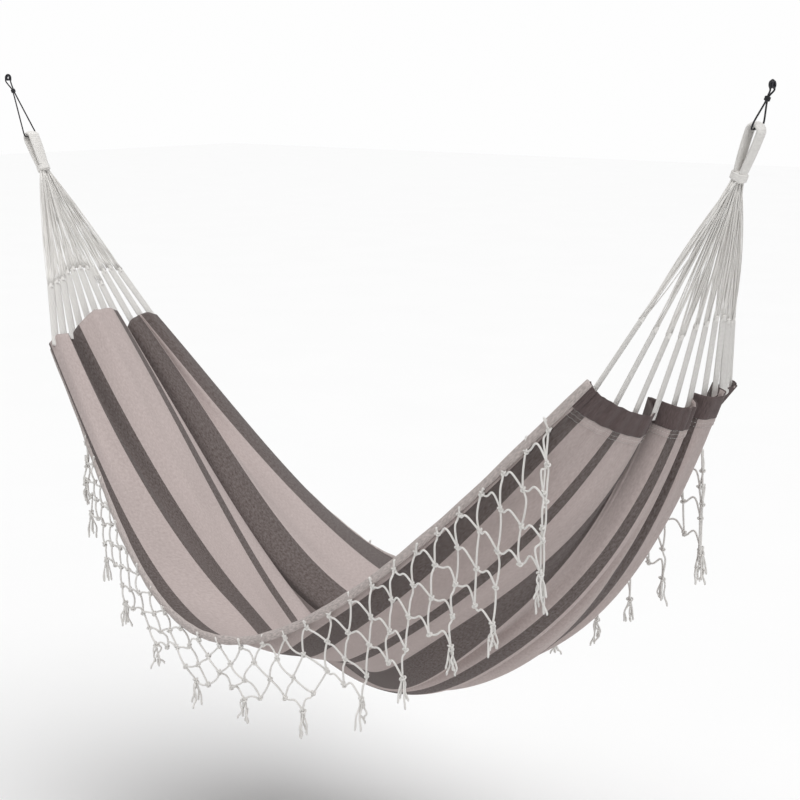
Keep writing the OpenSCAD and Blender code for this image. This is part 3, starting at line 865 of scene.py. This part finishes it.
class HAMMOCK_OT_strings(bpy.types.Operator):
    """Clew strings, their bindings and the woven tabs that hold the cloth."""

    bl_idname = "hammock.strings"
    bl_label = "Strings and tabs"

    def execute(self, context):
        shape = context.scene.hammock_shape
        for side, name in SIDES:
            top, foot = self.ends(shape, side)
            way = unit(foot - top)
            head = foot - way * shape.tab_length
            self.tabs(shape, name, head, foot)
            self.bind(name, head, way)
            self.bundle(shape, side, name, top, head)
        return {"FINISHED"}

    def ends(self, shape, side):
        """Where each bundle leaves the wrap and where its tab meets the hem. The tabs stand
        evenly across the hem and their feet lie a little below its top edge."""
        inside, under = 0.005, 0.016
        even = 2 * np.arange(shape.bundles) / (shape.bundles - 1) - 1
        top = end_point(shape, side, wrap_from(shape, side) + shape.wrap_length, 0 * even,
                        (shape.wrap_radius - inside) * even)
        t = np.arcsin(0.97 * even) * 2 / np.pi
        rows = np.array(SECTIONS[0 if side == LEFT else -1][1], float)
        climb = np.interp(t, rows[:, 1], rows[:, 3]) / MM
        foot = bed(shape, np.full_like(t, side), t)
        return top, foot + (under - climb)[:, None] * axes(shape, side)[0]

    def tabs(self, shape, name, head, foot):
        """Flat tubes with a rib at each pass of the weft."""
        rows, ribs, rib_wide, rib_deep = 130, 58, 0.0006, 0.0007
        x = np.linspace(0, 1, rows)
        paths = head[:, None] + x[None, :, None] * (foot - head)[:, None]
        rib = np.abs(np.sin(x * np.pi * ribs))
        wide = np.minimum(1, 0.60 + x * 12)
        tabs = tubes(f"tabs_{name}", paths,
                     shape.tab_width / 2 * wide - rib_wide + rib_wide * rib,
                     shape.tab_thick / 2 - 0.0005 + rib_deep * rib, sides=12)
        finish(tabs, "tab", f"woven_tabs_{name}")

    def bind(self, name, head, way):
        """Short coils where the strings go into the tabs."""
        radius, reach, pitch, ridge = 0.0062, 0.014, 0.0030, 0.0008
        coils = coil_barrel(f"bindings_{name}", head - way * reach * 0.4, way, radius, reach,
                            pitch, ridge)
        finish(coils, "string", f"tab_bindings_{name}")

    def bundle(self, shape, side, name, top, head):
        """Strings from the wrap to the tabs. Each bows a little to one side by a parabola, and
        the strings of one bundle lie in a flat band that opens towards the tab."""
        draw = np.random.default_rng(20 + side)
        count, rows = len(top) * shape.strings, 14
        narrow, wide, inside, stray, uneven, slack = 0.0022, 0.0108, 0.004, 0.0035, 0.0012, 0.0045
        pull, inwards = axes(shape, side)
        place = np.tile(np.linspace(-1, 1, shape.strings), len(top))[:, None]
        start = np.repeat(top, shape.strings, 0) + draw.normal(0, stray, (count, 1)) * inwards
        start += (place * narrow) * ACROSS - inside * pull
        stop = np.repeat(head, shape.strings, 0) + (place * wide) * ACROSS
        stop += draw.normal(0, uneven, (count, 1)) * inwards
        x = np.linspace(0, 1, rows)
        paths = start[:, None] + x[None, :, None] * (stop - start)[:, None]
        spread = (draw.normal(0, slack, (count, 1)) * ACROSS
                  + draw.normal(0, slack, (count, 1)) * inwards)
        bow = 4 * x * (1 - x)
        strings = tubes(f"strings_{name}", paths + bow[None, :, None] * spread[:, None],
                        shape.string / 2, sides=6)
        finish(strings, "string", f"clew_strings_{name}")


class HAMMOCK_OT_cloth(bpy.types.Operator):
    """Striped bed cloth with its gathers and deep folds, end bands, seams and side hems."""

    bl_idname = "hammock.cloth"
    bl_label = "Bed cloth and hems"

    def execute(self, context):
        rows, columns, closer = 171, 262, 0.45
        x = np.linspace(0, 1, rows)
        u = (1 - closer) * x + closer * (0.5 - 0.5 * np.cos(np.pi * x))
        woven = self.sheet(context, "bed_cloth_woven", u, 0.0, "stripes", columns, "bed_cloth")
        extras = []
        for side, name in SIDES:
            extras += self.band(context, side, name)
        for edge, name in EDGES:
            extras.append(self.hem(context, edge, name))
        return {"FINISHED"}

    def sheet(self, context, name, u, offset, look, columns, *nodes):
        """A strip of the hung cloth between shares u of its length, moved along its normal."""
        cloth = context.scene.hammock_cloth
        w = np.linspace(0, 1, columns) * cloth.width * MM
        points = cloth_points(context, u, w)
        points = points + grid_normals(points) * offset
        uv = np.stack(np.broadcast_arrays(w[None, :] / MM, u[:, None] * cloth.length), -1)
        piece = lay(name, points[None], uv[None])
        solid = piece.modifiers.new("thickness", "SOLIDIFY")
        solid.thickness = cloth.thickness
        solid.offset = 0.0
        return finish(piece, look, *nodes)

    def band(self, context, side, name):
        """Doubled dark band on the outer face, the seam beside it and its rows of stitches."""
        cloth, shape = context.scene.hammock_cloth, context.scene.hammock_shape
        band_out, seam_out, columns, step = -0.0026, -0.0018, 300, 0.01
        end = float(side == RIGHT)
        near = bed(shape, np.array([end, abs(end - step)]), np.zeros(2))
        speed = np.linalg.norm(near[1] - near[0]) / step
        share_of, seam_of = cloth.band / speed, cloth.seam / speed
        over = 0.0012 / cloth.length
        if side == LEFT:
            ends, rest = (-over, share_of), (share_of, share_of + seam_of)
        else:
            ends, rest = (1 - share_of, 1 + over), (1 - share_of - seam_of, 1 - share_of)
        band = self.sheet(context, f"band_{name}", np.linspace(*ends, 12), band_out, "band",
                          columns, f"end_band_{name}")
        seam = self.sheet(context, f"seam_{name}", np.linspace(*rest, 6), seam_out, "stripes",
                          columns)
        lines = [rest[0] + (rest[1] - rest[0]) * place for place in (0.05, 0.5, 0.95)]
        return [band, seam, self.stitches(context, name, lines)]

    def stitches(self, context, name, lines):
        """Rows of short stitches along the width, one small tube each."""
        count, cover, margin, out = 230, 0.62, 0.008, 0.0030
        fine, thick = 0.0003, 0.0006
        width = context.scene.hammock_cloth.width * MM
        w = np.linspace(margin, 1 - margin, count * 3 + 1) * width
        points = cloth_points(context, np.array(lines), w)
        beyond = points[-1:] + (points[-1:] - points[:1])
        line = points - grid_normals(np.concatenate([points, beyond]))[:-1] * out
        starts, stops = line[:, :-3:3].reshape(-1, 3), line[:, 2:-1:3].reshape(-1, 3)
        x = np.array([0.0, 0.3, 0.7, 1.0])
        paths = starts[:, None] + x[None, :, None] * (stops - starts)[:, None] * cover
        piece = tubes(f"stitches_{name}", paths, np.array([[fine, thick, thick, fine]]), sides=5)
        return finish(piece, "stitch")

    def hem(self, context, edge, name):
        """The rolled hem: an oval tube beside the cloth's edge, a little uneven."""
        rows, oval = 220, 0.62
        x = np.linspace(0, 1, rows)
        path = hem_path(context, x, edge)
        radius = context.scene.hammock_cloth.hem * (
            1 + 0.06 * np.sin(61 * x) + 0.05 * np.sin(143 * x + edge))
        piece = tubes(f"hem_{name}", path[None], radius * oval, radius, sides=14)
        return finish(piece, "hem", f"edge_hem_{name}")


def hem_path(context, u, edge):
    """Middle of a rolled hem: the cloth's edge thread, moved outwards by half the hem, or
    under the edge where the edge is turned down beside the left hem."""
    cloth = context.scene.hammock_cloth
    path = cloth_points(context, u, np.array([0.0 if edge == FRONT else cloth.width * MM]))[:, 0]
    under = 1 - ease((u - 0.35) / 0.2)
    return path + np.stack([0 * u, edge * cloth.hem * (0.55 - 0.4 * under),
                            -cloth.hem * 0.9 * under], -1)


def link_at(fringe, points):
    """Length of cord between two knots, longer towards the right hem."""
    share_of = ease((points[:, :1] - 1.1) / 1.0)
    return fringe.left_link + (fringe.right_link - fringe.left_link) * share_of


class HAMMOCK_OT_fringe(bpy.types.Operator):
    """Knotted net and tassels along both side hems."""

    bl_idname = "hammock.fringe"
    bl_label = "Fringe"

    def execute(self, context):
        for edge, name in EDGES:
            self.side(context, edge, name)
        return {"FINISHED"}

    def side(self, context, edge, name):
        """One edge: four rows of knots, each hung from two knots above, and a tassel at every
        second place."""
        fringe = context.scene.hammock_fringe
        hem = context.scene.hammock_cloth.hem
        draw = np.random.default_rng(40 + edge)
        n = fringe.meshes
        fine = np.linspace(fringe.first, fringe.last, 400)
        steps = np.linalg.norm(np.diff(hem_path(context, fine, edge), axis=0), axis=1)
        run = np.concatenate([[0], np.cumsum(steps)])
        u = np.interp(np.linspace(0, run[-1], n + 1), run, fine)
        top = hem_path(context, u, edge)
        hem_row = top + np.array([0.0, edge * 0.003, -(hem + fringe.knot * 0.7)])

        def hung(a, b, reach=1.0):
            return self.hang(fringe, edge, a, b, reach, draw)

        one = hung(hem_row[:-1], hem_row[1:])
        two = np.concatenate([hung(hem_row[:1], one[:1], 1.3), hung(one[:-1], one[1:]),
                              hung(one[-1:], hem_row[-1:], 1.6)])
        three = hung(two[:-1], two[1:])
        point = np.concatenate([hung(two[:1], three[:1], 0.9),
                                hung(three[1:-1:2], three[2::2], 0.9),
                                three[-1:] + DOWN * 1.6 * fringe.right_link])
        even = np.arange(0, n + 1, 2)
        links = ((top, hem_row), (hem_row[:-1], one), (hem_row[1:], one), (one[:-1], two[1:-1]),
                 (one[1:], two[1:-1]), (hem_row[:1], two[:1]), (one[:1], two[:1]),
                 (hem_row[-1:], two[-1:]), (one[-1:], two[-1:]), (two[:-1], three),
                 (two[1:], three), (three[np.clip(even - 1, 0, n - 1)], point),
                 (three[np.clip(even, 0, n - 1)], point))
        starts, stops = (np.concatenate(ends) for ends in zip(*links))
        net = self.net(fringe, edge, starts, stops, draw, f"net_{name}")
        finish(net, "net", f"fringe_net_{name}")
        knots = self.knots(fringe, np.concatenate([hem_row, one, two, three]), draw,
                           f"net_knots_{name}")
        finish(knots, "net", f"fringe_knots_{name}")
        tails = self.tails(fringe, point, draw, f"tassel_ends_{name}")
        finish(tails, "net", f"tassels_{name}")
        heads = self.knots(fringe, point, draw, f"tassel_knots_{name}", 1.2)
        finish(heads, "net")

    def hang(self, fringe, edge, a, b, reach, draw):
        """Where a knot hangs from a and b by equal cords: under the middle of the pair, square
        to its line, or straight under the higher one where that lies further out."""
        uneven, least, stray = 0.04, 0.4, 0.0022
        higher = np.where(a[:, 2:] >= b[:, 2:], a, b)
        lower = np.where(a[:, 2:] >= b[:, 2:], b, a)
        cord = link_at(fringe, (a + b) / 2) * reach * (1 + draw.normal(0, uneven, (len(a), 1)))
        gap = lower - higher
        size = np.linalg.norm(gap, axis=1, keepdims=True)
        along = gap / size
        square = unit(DOWN - (along @ DOWN)[:, None] * along)
        drop = np.sqrt(np.maximum(cord ** 2 - size ** 2 / 4, (least * cord) ** 2))
        level = unit(gap * np.array([1.0, 1.0, 0.0]))
        under = (a + b) / 2 + square * drop
        straight = higher + DOWN * cord
        beyond = np.sum((under - higher) * level, 1, keepdims=True) < 0
        knot = np.where(beyond, straight, under)
        lean = fringe.left_lean + (fringe.right_lean - fringe.left_lean) * ease(knot[:, 0] - 1.0)
        knot[:, 1] += edge * lean * cord[:, 0]
        return knot + draw.normal(0, stray, knot.shape)

    def net(self, fringe, edge, starts, stops, draw, name):
        """Links between knots. A link with length to spare rises in a hump with a dip beside
        its first knot, and a tight one bows a little to one side."""
        rows, most_spare, most_hump, dip, stray = 15, 1.2, 0.42, 0.35, 0.0045
        out = np.array([0.0, edge * 0.35, 1.0])
        chord = np.linalg.norm(stops - starts, axis=1, keepdims=True)
        cord = link_at(fringe, (starts + stops) / 2)
        spare = np.clip(cord / chord - 1, 0, most_spare)
        hump = np.minimum(chord * np.sqrt(0.375 * spare), most_hump * cord)
        x = np.linspace(0, 1, rows)[None, :, None]
        paths = starts[:, None] + x * (stops - starts)[:, None]
        paths = paths + hump[:, None] * 4 * x * (1 - x) * out
        paths = paths - (hump[:, None] * dip) * np.sin(2 * np.pi * x) * (1 - x) * out * 2
        side = draw.normal(0, stray, (len(starts), 1, 3))
        return tubes(name, paths + side * 4 * x * (1 - x), fringe.cord / 2, sides=8)

    def knots(self, fringe, centres, draw, name, size=1.0):
        """Overhand knots: a closed three-lobed curve of cord, squeezed and turned at random."""
        slim, tight, rows = 0.92, 0.35, 30
        a = np.linspace(0, 2 * np.pi, rows + 1)[:-1]
        lobe = np.stack([np.sin(a) + 2 * np.sin(2 * a), np.cos(a) - 2 * np.cos(2 * a),
                         -1.5 * np.sin(3 * a)], -1) / 3
        turn = draw.uniform(0, 2 * np.pi, len(centres))
        c, s, z = np.cos(turn), np.sin(turn), np.zeros(len(centres))
        spin = np.stack([np.stack([c, -s, z], -1), np.stack([z, z, z + 1], -1),
                         np.stack([s, c, z], -1)], -2)
        reach = fringe.knot * size - fringe.cord * tight
        paths = centres[:, None] + np.einsum("nij,kj->nki", spin, lobe) * reach
        return tubes(name, paths, fringe.cord / 2 * slim, sides=6, loop=True)

    def tails(self, fringe, points, draw, name):
        """Loose ends: each leaves the knot downwards, leans out by its own amount and curls by
        a sine, and is fullest near its frayed end."""
        k = fringe.strands
        count, rows = len(points) * k, 16
        apart, curly, waves_of, slim, frayed, tip = 0.002, 0.0028, 2.6, 0.86, 0.3, 0.6
        start = np.repeat(points, k, 0)
        turn = np.tile(np.arange(k) * 2 * np.pi / k, len(points)) + draw.uniform(0, 1.2, count)
        out = np.stack([np.cos(turn), np.sin(turn), 0 * turn], -1)
        size = fringe.tail * draw.uniform(0.8, 1.15, (count, 1, 1))
        lean = draw.uniform(0.08, 0.24, (count, 1, 1))
        x = np.linspace(0, 1, rows)[None, :, None]
        paths = (start[:, None] + DOWN * size * x + out[:, None] * size * lean * x ** 0.8
                 + out[:, None] * apart)
        curl = draw.normal(0, curly, (count, 1, 3)) * np.sin(waves_of * np.pi * x)
        radius = fringe.cord / 2 * (slim + frayed * x[0, :, 0] ** 3)
        radius[-1] *= tip
        return tubes(name, paths + curl, radius[None], sides=7)


class HAMMOCK_PT_panel(bpy.types.Panel):
    """Lists the steps that build the hammock."""

    bl_idname = "HAMMOCK_PT_panel"
    bl_label = "Hammock"
    bl_space_type = "VIEW_3D"
    bl_region_type = "UI"
    bl_category = "Hammock"

    def draw(self, context):
        for step in STEPS:
            self.layout.operator(step.bl_idname)


STEPS = (HAMMOCK_OT_stage, HAMMOCK_OT_cords, HAMMOCK_OT_eyes, HAMMOCK_OT_strings,
         HAMMOCK_OT_cloth, HAMMOCK_OT_fringe)
GROUPS = (("hammock_shape", HammockShape), ("hammock_cloth", HammockCloth),
          ("hammock_fringe", HammockFringe), ("hammock_stage", HammockStage))


def register():
    """Registers the classes and hangs the sizes on the scene."""
    for name, group in GROUPS:
        bpy.utils.register_class(group)
        setattr(bpy.types.Scene, name, PointerProperty(type=group))
    for step in (*STEPS, HAMMOCK_PT_panel):
        bpy.utils.register_class(step)


def unregister():
    """Takes the classes and the sizes away again."""
    for step in (HAMMOCK_PT_panel, *reversed(STEPS)):
        bpy.utils.unregister_class(step)
    for name, group in reversed(GROUPS):
        delattr(bpy.types.Scene, name)
        bpy.utils.unregister_class(group)


def main():
    """Registers the classes and builds every piece in order."""
    register()
    bpy.ops.hammock.stage()
    bpy.ops.hammock.cords()
    bpy.ops.hammock.eyes()
    bpy.ops.hammock.strings()
    bpy.ops.hammock.cloth()
    bpy.ops.hammock.fringe()


if __name__ == "__main__":
    main()
